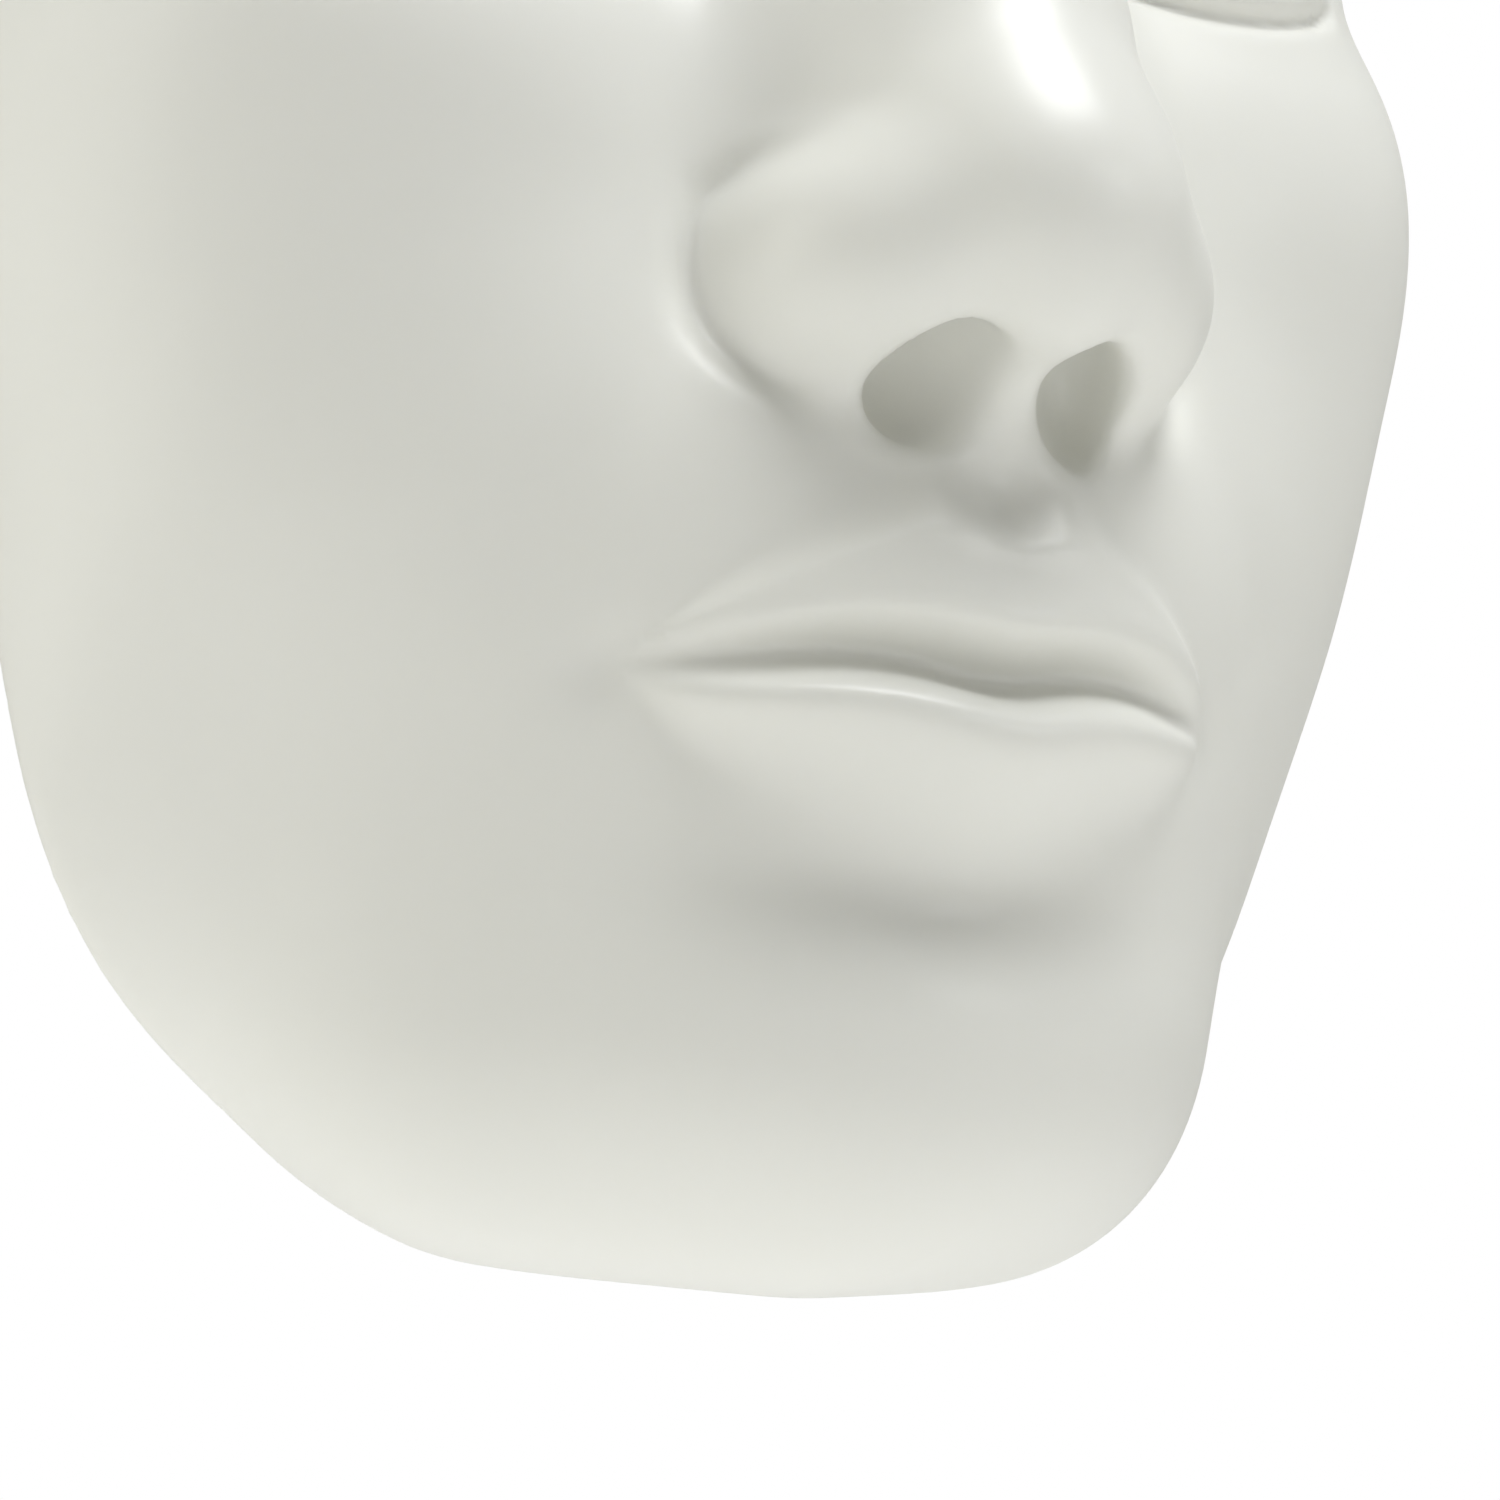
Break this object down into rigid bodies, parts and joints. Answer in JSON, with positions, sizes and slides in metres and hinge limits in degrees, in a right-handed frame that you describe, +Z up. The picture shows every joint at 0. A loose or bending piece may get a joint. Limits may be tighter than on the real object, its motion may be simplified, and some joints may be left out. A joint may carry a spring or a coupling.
{
  "type": "wall mask",
  "caption": "Plain white satin-gloss face mask, life size, moulded as an open-backed shell with a flat back flange, a wooden brace and a steel keyhole plate to hang it on a wall.",
  "frame": {"origin": "centre of the keyhole plate's round entry, in the flange's back plane", "axes": "+Z up the mask, +Y out of the back towards the wall, +X to the viewer's right from the front"},
  "size_m": [0.1316, 0.071, 0.2028],
  "materials": {
    "shell_lacquer": "satin-gloss white",
    "brace_wood": "sawn and sanded softwood",
    "bond_resin": "cast resin, off-white",
    "plate_steel": "bright zinc plate",
    "screw_steel": "bright zinc plate",
    "bumper_rubber": "matt moulded rubber"
  },
  "bodies": {
    "root": {"face_shell": "shell_lacquer", "hanger_brace": "brace_wood", "brace_bond_left": "bond_resin", "brace_bond_right": "bond_resin", "keyhole_plate": "plate_steel", "plate_screws": "screw_steel", "bumper_upper_left": "bumper_rubber", "bumper_upper_right": "bumper_rubber", "bumper_lower_left": "bumper_rubber", "bumper_lower_right": "bumper_rubber"}
  },
  "joints": []
}
